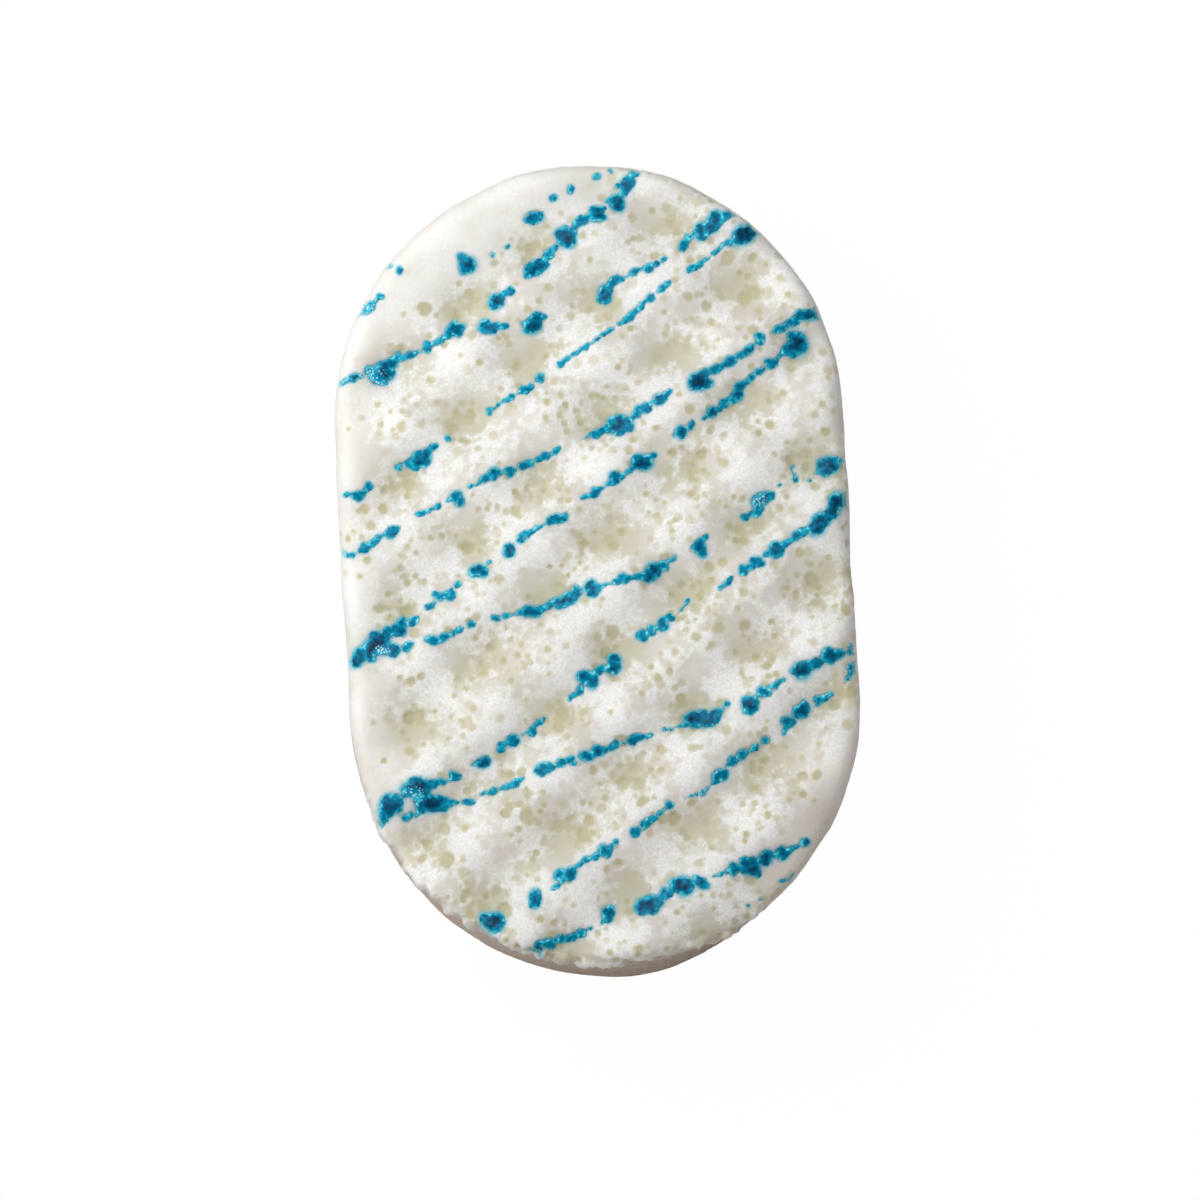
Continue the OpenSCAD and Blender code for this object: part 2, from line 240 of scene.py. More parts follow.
# single specks: place across and along, and size in millimetres
SPECKS = [
    (-75, 77, 1.2), (-71, 75.5, 1.5), (-43, 94, 1.2), (-34, 78, 1.0), (-28, 80, 1.0),
    (-9, 91.5, 1.5), (-2, 93.5, 1.5), (8.5, 96.5, 1.5), (14, 98, 1.0), (33, 74.8, 1.3),
    (-55.5, 33, 1.2), (-42, 1.5, 1.0), (73.5, 16.5, 0.8), (85.5, 17.5, 0.8),
    (52, -87.5, 0.8), (57, -86, 0.7), (87, -70, 1.6),
]

# where tiny white bubbles stand in the soap: the same, with their reach in millimetres
BUBBLY = [
    (-84, 49, 3.2), (-95, 48, 2.0), (-84, 65, 4.0), (-86, -20, 2.2), (-76, -56, 2.4),
    (64, 14, 2.6), (-64, 34, 2.4), (5, 69, 2.2), (-38, 50, 3.0),
]
print(len(DROPS), "large drops,", len(STRANDS), "strands,", len(SPECKS), "specks")

# %% [markdown]
# Each strand is walked from knot to knot and broken into many small blobs, each a soft
# oval that is a little out of line, wider or narrower than the last. Two walks are made:
# one lays a thin thread of tiny blobs, and one lays the beads on it. The random numbers
# have a seed, so that the beads fall in the same places every time.

# %% Blobs, places and widths
dice = random.Random(11)
blobs = []


def add_blob(x, y, length, width, angle):
    blobs.append((x, y, length / 2, width / 2, angle))


def place(knot):
    return Vector((knot[0] * half_width / 100, knot[1] * half_length / 100))


def walk(a, b):
    """Start, way and direction of the stretch from knot a to knot b."""
    start = place(a)
    run = place(b) - start
    return start, run, math.atan2(run.y, run.x)


def width_at(a, b, t):
    """Width of the strand at a share t of the way from knot a to knot b."""
    return (a[2] + (b[2] - a[2]) * t) / 100 * drop_width


def out_of_line(share):
    return Vector((dice.gauss(0, share), dice.gauss(0, share)))


print("first knot lies at", tuple(round(v / mm, 1) for v in place(STRANDS[0][0])))

# %% Thread and beads of a strand
# lengths are shares of the strand's width at that place
thread_share = 0.62
thread_step = 0.22
thread_widths = (0.2, 0.42)
bead_sizes = (0.42, 0.55, 0.68, 0.8, 0.95)
bead_gaps = (1.1, 1.9)
blobs_in_bead = 3


def lay_thread(a, b):
    start, run, angle = walk(a, b)
    reach = 0.0
    while reach < run.length:
        t = reach / run.length
        width = width_at(a, b, t)
        if dice.random() < thread_share:
            p = start + run * t + out_of_line(0.09) * width
            speck = width * dice.uniform(*thread_widths)
            add_blob(p.x, p.y, speck * 1.3, speck, angle)
        reach += thread_step * width


def lay_beads(a, b):
    start, run, angle = walk(a, b)
    reach = 0.0
    while reach < run.length:
        t = reach / run.length
        size = width_at(a, b, t) * dice.choice(bead_sizes)
        p = start + run * t
        for _ in range(blobs_in_bead):
            q = p + out_of_line(0.2) * size
            part = size * dice.uniform(0.5, 0.85)
            part_length = part * dice.uniform(1.0, 1.4)
            add_blob(q.x, q.y, part_length, part, angle + dice.uniform(-0.8, 0.8))
        reach += size * dice.uniform(*bead_gaps)


print(f"a strand has beads of {len(bead_sizes)} sizes")

# %% [markdown]
# A large drop is one blob in the middle with smaller lobes scattered round it, so that no
# two drops have the same outline. Blobs run together later and grow a little, so a drop
# starts smaller than its listed size.

# %% Lay the drops, the strands and the specks
drop_shrink = 0.85
middle_share = 0.72
lobe_reach = 0.36
lobes = 9

for drop in DROPS:
    p = place(drop)
    length, width = (drop_shrink * share / 100 * drop_width for share in drop[2:4])
    turn = math.radians(drop[4])
    add_blob(p.x, p.y, middle_share * length, middle_share * width, turn)
    for _ in range(lobes):
        along = dice.uniform(-lobe_reach, lobe_reach) * length
        across = dice.uniform(-lobe_reach, lobe_reach) * width
        x = p.x + along * math.cos(turn) - across * math.sin(turn)
        y = p.y + along * math.sin(turn) + across * math.cos(turn)
        lobe_length = width * dice.uniform(0.3, 0.5)
        lobe_width = width * dice.uniform(0.25, 0.4)
        add_blob(x, y, lobe_length, lobe_width, dice.uniform(0, math.pi))
for knots in STRANDS:
    for a, b in zip(knots, knots[1:]):
        lay_thread(a, b)
        lay_beads(a, b)
for across, along, size in SPECKS:
    p = place((across, along))
    add_blob(p.x, p.y, size * mm, 0.75 * size * mm, dice.uniform(0, math.pi))
print(len(blobs), "blobs")

# %% [markdown]
# A blob spreads a soft bell of "soap" round itself. Where bells overlap they add up, so
# neighbours run together as wet soap does: this is how metaballs work. `soap_level` is 1
# in the middle of a lone blob, 0 at its edge and below 0 outside. `bead_radius` is the
# half width of the blobs at a place, and later sets how high the soap stands.

# %% Add the blobs up on a fine grid
soap_pitch = 0.22 * mm
# how steeply a bell falls, and how far it is followed, in half lengths of its blob
bell = 2.6
bell_reach = 2.4
# stands for no soap, because a logarithm needs something above 0
almost_none = 1e-9
cells_x = int(2 * half_width / soap_pitch)
cells_y = int(2 * half_length / soap_pitch)
xs = np.linspace(-half_width, half_width, cells_x + 1)
ys = np.linspace(-half_length, half_length, cells_y + 1)
amount = np.full((cells_y + 1, cells_x + 1), almost_none)
rise = np.zeros_like(amount)


def window(values, middle, reach):
    first, last = np.searchsorted(values, (middle - reach, middle + reach))
    return slice(first, last)


for x, y, long_half, wide_half, angle in blobs:
    reach = bell_reach * long_half
    rows, cols = window(ys, y, reach), window(xs, x, reach)
    dx, dy = np.meshgrid(xs[cols] - x, ys[rows] - y)
    along = (dx * math.cos(angle) + dy * math.sin(angle)) / long_half
    across = (dy * math.cos(angle) - dx * math.sin(angle)) / wide_half
    share = np.exp(-bell * (along**2 + across**2))
    amount[rows, cols] += share
    rise[rows, cols] += share * wide_half
edge_amount = math.exp(-bell)
soap_level = np.log(amount / edge_amount) / bell
bead_radius = rise / amount
print(f"blue soap covers {100 * np.mean(soap_level > 0):.0f} % of the face's box")

# %% [markdown]
# ## The foam block
# A cushion of foam starts as a plain block. A cube has its upright corners bevelled by
# half the width, which turns both ends into half circles, and a smaller bevel rounds the
# rim and the base. It could be drawn as a curve and extruded, but bevels keep one closed
# skin, and the sizes stay easy to change.

# %% Bevel a cube into an oval block
def only(piece):
    """Selects this piece alone and makes it the active one."""
    bpy.ops.object.select_all(action="DESELECT")
    piece.select_set(True)
    bpy.context.view_layer.objects.active = piece


def apply_modifier(piece, kind, **settings):
    only(piece)
    bpy.ops.object.modifier_add(type=kind)
    modifier = piece.modifiers[-1]
    for key, value in settings.items():
        setattr(modifier, key, value)
    bpy.ops.object.modifier_apply(modifier=modifier.name)


def pick_by(kind):
    """Edit mode picks only whole vertices, edges or faces, so that nothing between is added."""
    kinds = ("VERT", "EDGE", "FACE")
    bpy.context.tool_settings.mesh_select_mode = [kind == k for k in kinds]


def select_edges(piece, wanted):
    """Selects the edges of a mesh whose two ends satisfy wanted(a, b)."""
    mesh = piece.data
    pick_by("EDGE")
    for part in (mesh.vertices, mesh.edges, mesh.polygons):
        part.foreach_set("select", [False] * len(part))
    for edge in mesh.edges:
        a, b = (mesh.vertices[i].co for i in edge.vertices)
        edge.select = wanted(a, b)


def bevel_edges(piece, wanted, size, segments):
    only(piece)
    select_edges(piece, wanted)
    bpy.ops.object.mode_set(mode="EDIT")
    bpy.ops.mesh.bevel(offset=size, offset_type="OFFSET", segments=segments, affect="EDGES")
    bpy.ops.mesh.select_all(action="SELECT")
    bpy.ops.mesh.remove_doubles(threshold=0.02 * mm)
    bpy.ops.object.mode_set(mode="OBJECT")


def is_upright(a, b):
    return abs(a.z - b.z) > top / 2


def is_top_rim(a, b):
    return min(a.z, b.z) > top - 0.01 * mm


def is_base_rim(a, b):
    return max(a.z, b.z) < 0.01 * mm


bpy.ops.object.select_all(action="DESELECT")
bpy.ops.mesh.primitive_cube_add(size=1, location=(0, 0, top / 2))
sponge = bpy.context.object
sponge.name = "sponge_foam"
sponge.scale = (2 * half_width, 2 * half_length, top)
bpy.ops.object.transform_apply(location=True, rotation=True, scale=True)
bevel_edges(sponge, is_upright, half_width, segments=48)
bevel_edges(sponge, is_top_rim, top_edge, segments=8)
bevel_edges(sponge, is_base_rim, base_edge, segments=4)
print("block:", len(sponge.data.polygons), "faces")
print("block size in mm:", tuple(round(v / mm, 1) for v in sponge.dimensions))

# %% [markdown]
# The long faces of the block can't hold dimples or pores. A voxel remesh covers it with
# even squares, and the face that is seen closest gets one more cut, so it is twice as fine.

# %% Remesh the block and refine its face
voxel = 0.72 * mm
apply_modifier(sponge, "REMESH", mode="VOXEL", voxel_size=voxel)
pick_by("FACE")
for face in sponge.data.polygons:
    face.select = face.center.z > top - top_edge * 1.2 and face.normal.z > 0.05
only(sponge)
bpy.ops.object.mode_set(mode="EDIT")
bpy.ops.mesh.subdivide(number_cuts=1)
bpy.ops.object.mode_set(mode="OBJECT")
print("even mesh:", len(sponge.data.vertices), "points")

# %% [markdown]
# Soft foam has no hard numbers: its shape is made by moving points, as in sculpting.
# The dimples press the face down and fade out down the wall. The walls get slow waves,
# because a saw cuts soft foam unevenly, and at one corner they are drawn in below a lip
# of soap that hangs over the rim. The base stays flat, to rest on.

# %% Read and move the points of a mesh
def points_of(piece):
    points = np.zeros(len(piece.data.vertices) * 3)
    piece.data.vertices.foreach_get("co", points)
    return points.reshape(-1, 3)


def normals_of(piece):
    normals = np.zeros(len(piece.data.vertices) * 3)
    piece.data.vertices.foreach_get("normal", normals)
    return normals.reshape(-1, 3)


def move_points(piece, points):
    piece.data.vertices.foreach_set("co", points.ravel())
    piece.data.update()


print("one point of the block:", tuple(round(v / mm, 1) for v in points_of(sponge)[0]))

# %% Press the dimples and wave the walls
wall_wave = 0.5 * mm
wave_size = 16 * mm
wall_inset = 0.2 * mm
wave_fade = 6 * mm
tuck_in = 1.8 * mm
tuck_fade = (4 * mm, 12 * mm)
# angles round the middle of the lower end, in degrees from the X axis: the lip comes in
# from the first to the second and goes out from the third to the last
lip_angles = (-62, -50, -24, -8)
tuck_start = -84


def folded(x, y, start=lip_angles[0]):
    """1 at the corner of the rim where a lip of soap hangs over the wall."""
    angle = np.degrees(np.arctan2(y + half_straight, x))
    comes_in = smoothstep(start, lip_angles[1], angle)
    goes_out = smoothstep(lip_angles[3], lip_angles[2], angle)
    return comes_in * goes_out


block = points_of(sponge)
outward = normals_of(sponge)
x, y, z = block.T
above_base = smoothstep(0, wave_fade, z)
faces_up = np.clip(outward[:, 2], 0, 1)
wave = wall_wave * ripple(x, y, z, wave_size) - wall_inset
plan = outward * [1, 1, 0]
below_lip = folded(x, y, tuck_start) * smoothstep(top - tuck_fade[0], top - tuck_fade[1], z)
shaped = block + plan * (wave * above_base - tuck_in * below_lip)[:, None]
shaped[:, 2] += faces_up * lumps(x, y) - sag(x, y, z)
move_points(sponge, shaped)
print("block is now", tuple(round(v / mm, 1) for v in sponge.dimensions))

# %% [markdown]
# ## Pores
# Foam is made of bubbles, and where the surface cuts them they show as round openings.
# Here the soap has filled most of them, so they are shallow. Each pore is a small bowl:
# the points within its radius are pushed in. They could be cut out one by one, but
# thousands of cuts are slow. They crowd in the dimples, and they are rare where a film of
# soap has dried over the face. They don't repeat the few large pores of the CAD model.

# %% Where soap film covers the foam
def soap_film(x, y):
    """1 where a smooth film of soap hides the pores, 0 on open foam."""
    thick = poured(x, y, 0.08 * ripple(x, y, 0 * x, 12 * mm))
    edge_bend = 5 * mm * ripple(x, y, 0 * x + 0.3, 14 * mm)
    edge = smoothstep(6 * mm, 2 * mm, inset(x, y) + edge_bend)
    patches = smoothstep(0.05, 0.35, ripple(x, y, 0 * x + 0.5, 34 * mm))
    lip = folded(x, y) * smoothstep(9 * mm, 4 * mm, inset(x, y))
    smooth = np.maximum(np.maximum(thick, 0.7 * edge * patches), lip)
    # soap ran down the sides of the dimples that face the lower right
    step = 1.2 * mm
    slope = hollow(x + step, y - step) - hollow(x - step, y + step)
    run_down = smoothstep(0.12, 0.42, slope) * (0.5 + 0.5 * hollow(x, y))
    lower_end = smoothstep(-0.70, -0.82, y / half_length)
    frothy_end = lower_end * smoothstep(0.66, 0.50, x / half_width)
    return np.maximum(smooth, 0.75 * run_down) * (1 - 0.9 * frothy_end)


print("film at the middle:", soap_film(np.zeros(1), np.zeros(1)).round(2)[0])

# %% Sow the pores
pore_count = {"face": 1500, "dimples": 520, "wall": 1500, "base": 700}
# radii in millimetres; the small ones are listed more often, so they are commoner
small = [0.5, 0.5, 0.55, 0.6, 0.7, 0.8, 1.0]
large = [0.6, 0.7, 0.8, 0.9, 1.0, 1.2, 1.5]
face_depth = 4 * mm
dice = random.Random(5)


def sow(points, count, radii, chance):
    """Picks points for pores, with a radius from the list, by a chance for each point."""
    picked = []
    while len(picked) < count:
        i = dice.randrange(len(points))
        if dice.random() < chance[i]:
            picked.append((Vector(points[i]), dice.choice(radii) * mm))
    return picked


skin = points_of(sponge)
outward = normals_of(sponge)
x, y, z = skin.T
deep = hollow(x, y)
film = soap_film(x, y)
height = block[:, 2]
on_face = (height > top - face_depth) & (outward[:, 2] > 0.3)
on_base = height < 0.1 * mm
on_wall = ~on_face & (height > base_edge) & (height < top - face_depth)

crowd = 0.15 + 0.85 * smoothstep(-0.3, 0.35, ripple(x, y, z, 8 * mm))
face_chance = on_face * (1 - 0.97 * film) * crowd
dimple_chance = on_face * (1 - 0.9 * film) * crowd * deep**3
pores = sow(skin, pore_count["face"], small, face_chance)
pores += sow(skin, pore_count["dimples"], large, dimple_chance)
pores += sow(skin, pore_count["wall"], small, on_wall)
pores += sow(skin, pore_count["base"], small, on_base)
print(len(pores), "pores")

# %% Push the pores in
tree = kdtree.KDTree(len(skin))
for i, point in enumerate(skin):
    tree.insert(point, i)
tree.balance()
# depth as a share of the radius; the wobble keeps pores from being perfect circles
pore_depth = 0.2
pore_reach = 1.25
wobble = 0.3 * ripple(x, y, z, 1.4 * mm, 1)
pit = np.zeros(len(skin))
pore = np.zeros(len(skin))
for centre, radius in pores:
    found = tree.find_range(centre, radius * pore_reach)
    near = [i for _, i, _ in found]
    distance = np.array([d for _, _, d in found]) / radius + wobble[near]
    share = dice.uniform(0.15, 0.95) * (1 - smoothstep(0.65, 1.1, distance))
    pore[near] = np.maximum(pore[near], share)
    pit[near] = np.maximum(pit[near], share * radius * pore_depth)
print(f"deepest pore {pit.max() / mm:.1f} mm")

# %% [markdown]
# Under the blue soap the foam is pressed down a little, so that each drop has a seat and
# the two surfaces never flicker. Round the drops the dye has crept into the foam; how
# near a point lies to the soap is kept as an attribute, for the material to colour.

# %% Read a grid and store a mark on the points
def read_grid(grid, x, y):
    """The grid's value at each point of the plan, between its four nearest nodes."""
    column = np.clip((x - xs[0]) / (xs[1] - xs[0]), 0, len(xs) - 1.001)
    row = np.clip((y - ys[0]) / (ys[1] - ys[0]), 0, len(ys) - 1.001)
    i, j = row.astype(int), column.astype(int)
    u, v = row - i, column - j
    lower = grid[i, j] * (1 - v) + grid[i, j + 1] * v
    upper = grid[i + 1, j] * (1 - v) + grid[i + 1, j + 1] * v
    return lower * (1 - u) + upper * u


def store(piece, name, values):
    made = piece.data.attributes.new(name, "FLOAT", "POINT")
    made.data.foreach_set("value", np.asarray(values, np.float32))


middle_level = read_grid(soap_level, np.zeros(1), np.zeros(1))[0]
print("soap level at the middle:", round(float(middle_level), 1))

# %% Where froth, film and soap lie on the foam
# a level far below the edge of any drop
no_soap = -9.0

x, y, z = skin.T
soap_near = np.where(on_face, read_grid(soap_level, x, y), no_soap)
under_soap = smoothstep(-0.35, 0.1, soap_near)
smooth = film * on_face
clump = 0.75 * ripple(x, y, z, 6.5 * mm, 3) + 0.4 * ripple(x, y, z + 1, 1.6 * mm, 2)
froth = smoothstep(-0.5, 0.5, clump + 0.22 - 0.5 * deep**2) * (1 - 0.6 * smooth)
grain = ripple(x, y, z, 0.8 * mm, 1) * (1 - 0.8 * smooth)
print(f"froth on {100 * np.mean(froth > 0.5):.0f} % of the points")

# %% [markdown]
# The white froth ends a few millimetres down the wall, in a ragged edge with crumbs at the
# lower end. Below it the wall is bare cut foam. At the lip the edge is smooth instead.

# %% The frothy rim and the bare wall
froth_reach = 8 * mm
crumb_height = 0.9 * mm

low_end = smoothstep(0.15, 0.6, -y / half_length)
lip = folded(x, y)
froth_edge = top - froth_reach + 5 * mm * low_end - 3 * mm * lip
above_edge = smoothstep(froth_edge - 2 * mm, froth_edge, height)
below_face = 1 - smoothstep(top - 1.5 * mm, top, height)
crumbly_end = smoothstep(0.4, 0.75, -y / half_length)
rim = above_edge * below_face * crumbly_end * (1 - lip)
crumbs = smoothstep(-0.25, 0.45, ripple(x, y, z + 2, 2.8 * mm, 4))
ragged = 2 * mm * ripple(x, y, 0 * x, 4 * mm, 2) + 2 * mm * ripple(x, y, z, 1.4 * mm, 1)
edge_height = height + ragged * (1 - lip)
wall = 1 - smoothstep(froth_edge - 1.5 * mm, froth_edge + 0.5 * mm, edge_height)
print(f"bare wall on {100 * np.mean(wall > 0.5):.0f} % of the points")

# %% Move the points of the foam and store the marks
froth_height = 0.12 * mm
grain_height = 0.035 * mm
seat = 0.3 * mm

pit = pit * (1 - 0.9 * under_soap)
rough = (froth_height * froth + grain_height * grain) * (1 - under_soap)
rough = rough + rim * crumb_height * crumbs * (1 - under_soap)
moved = skin + outward * (rough - pit - seat * under_soap)[:, None]
moved[:, 2] = np.maximum(moved[:, 2], 0)
move_points(sponge, moved)

store(sponge, "pore", pore * (1 - under_soap) * (1 - 0.5 * wall))
store(sponge, "film", film * (1 - wall))
store(sponge, "froth", froth * (1 - 0.6 * wall))
store(sponge, "dimple", deep * (1 - wall))
store(sponge, "wall", wall)
store(sponge, "blue", smoothstep(-3.2, 0.0, soap_near))
only(sponge)
bpy.ops.object.shade_smooth()
sponge.data.calc_loop_triangles()
print("sponge:", len(sponge.data.loop_triangles), "triangles")

# %% [markdown]
# ## The drizzle
# The blue soap is one thin skin with a domed top. A fine grid is laid over the face, the
# squares with soap are kept, and each point is lifted to the foam's height plus the
# height of the soap there. Past the edge of a drop the height goes just below the foam,
# so the soap seems to run into it. Extruding the kept squares closes each drop below. A
# noise bends the plan first, which makes the outlines ragged, as soap is on rough foam.

# %% Lay a grid and read the soap on it
outline_bend = 0.42 * mm
clear_rim = 0.9 * mm

bpy.ops.object.select_all(action="DESELECT")
bpy.ops.mesh.primitive_grid_add(x_subdivisions=cells_x, y_subdivisions=cells_y, size=1)
drizzle = bpy.context.object
drizzle.name = "drizzle_soap"
drizzle.scale = (2 * half_width, 2 * half_length, 1)
bpy.ops.object.transform_apply(location=True, rotation=True, scale=True)

x, y = points_of(drizzle)[:, :2].T
bend_x = outline_bend * ripple(x, y, 0 * x, 0.9 * mm)
bend_y = outline_bend * ripple(x + 1, y, 0 * x, 0.9 * mm)
level = read_grid(soap_level, x + bend_x, y + bend_y)
level = level + 0.3 * ripple(x, y, 0 * x + 0.5, 0.7 * mm)
level = np.where(inset(x, y) < clear_rim, no_soap, level)
radius = read_grid(bead_radius, x, y)
print(f"{np.mean(level > 0) * 100:.1f} % of the grid is under soap")

# %% Keep the squares with soap
# a little is kept past the edge, at level 0, for the dip into the foam
keep = level > -0.3
pick_by("FACE")
for face in drizzle.data.polygons:
    face.select = not all(keep[i] for i in face.vertices)
store(drizzle, "level", level)
store(drizzle, "radius", radius)
only(drizzle)
bpy.ops.object.mode_set(mode="EDIT")
bpy.ops.mesh.delete(type="FACE")
bpy.ops.object.mode_set(mode="OBJECT")
print("drizzle:", len(drizzle.data.polygons), "squares kept")

# %% Lift the drops
# height of a drop as a share of its half width
soap_height = 0.22
edge_dip = 0.25 * mm
bead_height = 0.05 * mm


def values_of(piece, name):
    values = np.zeros(len(piece.data.vertices))
    piece.data.attributes[name].data.foreach_get("value", values)
    return values


flat = points_of(drizzle)
x, y = flat[:, 0], flat[:, 1]
level = values_of(drizzle, "level")
radius = values_of(drizzle, "radius")
inside = np.clip(level, 0, 1.6)
dome = soap_height * radius * np.sqrt(inside)
outside = smoothstep(0, 0.3, -level)
beads = bead_height * ripple(x, y, 0 * x, 0.6 * mm, 1) * np.sqrt(inside)
flat[:, 2] = skin_height(x, y) + dome + beads - edge_dip * outside
move_points(drizzle, flat)
print(f"highest dome {dome.max() / mm:.1f} mm")

# %% Mark thick soap and tiny bubbles
bubbly = 0 * x
for across, along, reach in BUBBLY:
    p = place((across, along))
    away = np.hypot(x - p.x, y - p.y) / (reach * mm)
    bubbly = np.maximum(bubbly, 1 - smoothstep(0.3, 1.0, away))
store(drizzle, "bubbly", bubbly)
store(drizzle, "thickness", inside**0.8 * (0.05 + 1.05 * radius / mm))
for done in ("level", "radius"):
    drizzle.data.attributes.remove(drizzle.data.attributes[done])
print("marks:", [a.name for a in drizzle.data.attributes if a.data_type == "FLOAT"])

# %% Close the drops below
soap_sole = 0.6 * mm

only(drizzle)
bpy.ops.object.mode_set(mode="EDIT")
bpy.ops.mesh.select_all(action="SELECT")
bpy.ops.mesh.extrude_region_move(TRANSFORM_OT_translate={"value": (0, 0, -soap_sole)})
bpy.ops.mesh.select_all(action="SELECT")
bpy.ops.mesh.normals_make_consistent(inside=False)
bpy.ops.object.mode_set(mode="OBJECT")
bpy.ops.object.shade_smooth()
drizzle.data.calc_loop_triangles()
print("drizzle:", len(drizzle.data.loop_triangles), "triangles")

# %% [markdown]
# ## Finishes
# A finish is a small graph of nodes. `node` adds one node, sets its inputs and links what
# is given as a socket, which keeps the graphs short enough to read. Every pattern reads
# the Object coordinates of its own piece or an attribute stored in its mesh.

# %% Small helpers for node graphs
def colour(red, green, blue):
    """A colour given as 0 to 255 on screen, as the linear numbers that Blender uses."""
    parts = [value / 255 for value in (red, green, blue)]
    return [p / 12.92 if p < 0.04045 else ((p + 0.055) / 1.055) ** 2.4 for p in parts] + [1.0]


def new_finish(name):
    finish = bpy.data.materials.new(name)
    finish.use_nodes = True
    finish.node_tree.nodes.clear()
    return finish, finish.node_tree


def node(tree, kind, inputs=(), **settings):
    """Adds a node. inputs is a list of (socket name or number, value or socket)."""
    made = tree.nodes.new("ShaderNode" + kind)
    for key, value in settings.items():
        setattr(made, key, value)
    for key, value in inputs:
        if isinstance(value, bpy.types.NodeSocket):
            tree.links.new(value, made.inputs[key])
        else:
            made.inputs[key].default_value = value
    return made


def attribute(tree, name):
    return node(tree, "Attribute", attribute_name=name).outputs["Fac"]


def calc(tree, operation, a, b):
    return node(tree, "Math", [(0, a), (1, b)], operation=operation).outputs[0]


def times(tree, a, b):
    return calc(tree, "MULTIPLY", a, b)


def speckle(tree, where, scale, detail):
    """A noise of about 0.5, with so many bumps to the metre."""
    inputs = [("Vector", where), ("Scale", scale), ("Detail", detail)]
    return node(tree, "TexNoise", inputs).outputs[0]


def blend(tree, factor, a, b):
    """Goes from colour a to colour b as the factor goes from 0 to 1. Inputs 6 and 7 of a
    Mix node are its two colours."""
    mixed = node(tree, "Mix", [("Factor", factor), (6, a), (7, b)], data_type="RGBA")
    return mixed.outputs[2]


def spread(tree, value, low, high, to_low=0.0, to_high=1.0):
    """Stretches low..high to to_low..to_high, softly, and stops at both ends."""
    inputs = [("Value", value), (1, low), (2, high), (3, to_low), (4, to_high)]
    return node(tree, "MapRange", inputs, interpolation_type="SMOOTHSTEP").outputs[0]


print("helpers ready")

# %% [markdown]
# ### Soapy foam
# The froth on the face is bright white and grainy, and the film of soap is white and
# smoother. The foam is creamier in the dimples, and most of all in a pore that soap has
# filled. The walls show bare cut foam, a net of pale struts round darker cells. At the
# lower end the walls turn from the lamp, and there a warm brown is painted shade with a
# little soap tint, darker to the right and near the base. It could be one picture wrapped
# round the block, but layers of colour with a mask each have no seam and can be changed
# one by one.

# %% Colours of the face
open_foam = colour(212, 208, 202)
dimple_cream = colour(204, 200, 180)
film_white = colour(226, 225, 223)
crystal_white = colour(221, 220, 217), colour(235, 235, 234)


def face_colour(tree, where, grain, fine, marks):
    cream = spread(tree, marks["dimple"], 0.3, 0.95)
    base = blend(tree, cream, open_foam, dimple_cream)
    cloudy = spread(tree, speckle(tree, where, 160.0, 2.0), 0.3, 0.7, 0.5, 0.95)
    base = blend(tree, times(tree, marks["film"], cloudy), base, film_white)
    powder = times(tree, calc(tree, "SUBTRACT", grain, 0.5), 1.3)
    sparkle = spread(tree, calc(tree, "ADD", powder, marks["froth"]), 0.1, 1.0)
    crystals = blend(tree, spread(tree, fine, 0.3, 0.7), *crystal_white)
    return blend(tree, sparkle, base, crystals)


print("face colours ready")

# %% Colours of the walls
cell_shade, strut_pale = colour(203, 197, 188), colour(232, 229, 225)
# painted shade: warm browns for the wall at the lower end, which is turned from the lamp
shaded_wall_pale, shaded_wall_dark = colour(212, 186, 167), colour(156, 127, 108)
stained_strut = colour(228, 217, 208)


def strut_net(tree, where, wall):
    """1 on the struts between the cells of the cut foam, on the walls only."""
    inputs = [("Vector", where), ("Scale", 750.0)]
    cells = node(tree, "TexVoronoi", inputs, feature="DISTANCE_TO_EDGE").outputs["Distance"]
    return times(tree, spread(tree, cells, 0.04, 0.2, 1.0, 0.0), wall)


def wall_colour(tree, base, spot, struts, toward_lower_end, wall):
    cut_foam = blend(tree, struts, cell_shade, strut_pale)
    base = blend(tree, times(tree, wall, 0.6), base, cut_foam)
    # painted shade on the wall at the lower end, stronger near the base and darker to the right
    deeper_shade_below = spread(tree, spot["Z"], 14 * mm, top - 6 * mm, 0.9, 0.6)
    shade_to_right = spread(tree, spot["X"], -35 * mm, 10 * mm)
    wall_shade = blend(tree, shade_to_right, shaded_wall_pale, shaded_wall_dark)
    base = blend(tree, times(tree, wall, times(tree, toward_lower_end, deeper_shade_below)), base, wall_shade)
    return blend(tree, times(tree, struts, 0.28), base, stained_strut)


print("wall colours ready")

# %% [markdown]
# The last layers are a faint painted warm shade on the film at the lower end, the soap in
# the pores, and dye that has crept out of the blue drops. A bump gives the grains that are
# too fine for the mesh, weaker where the film is. Light goes a few millimetres into soapy
# foam and comes out again, and subsurface scattering copies that: it takes the hardness off.

# %% The foam's finish
# painted warm shade for the film at the lower end, which is turned from the lamp
film_warm_shade = colour(208, 194, 184)
pore_honey = colour(194, 188, 154)
crept_dye = colour(84, 192, 212)
bump_height = 0.12 * mm
light_depth = 6.0 * mm


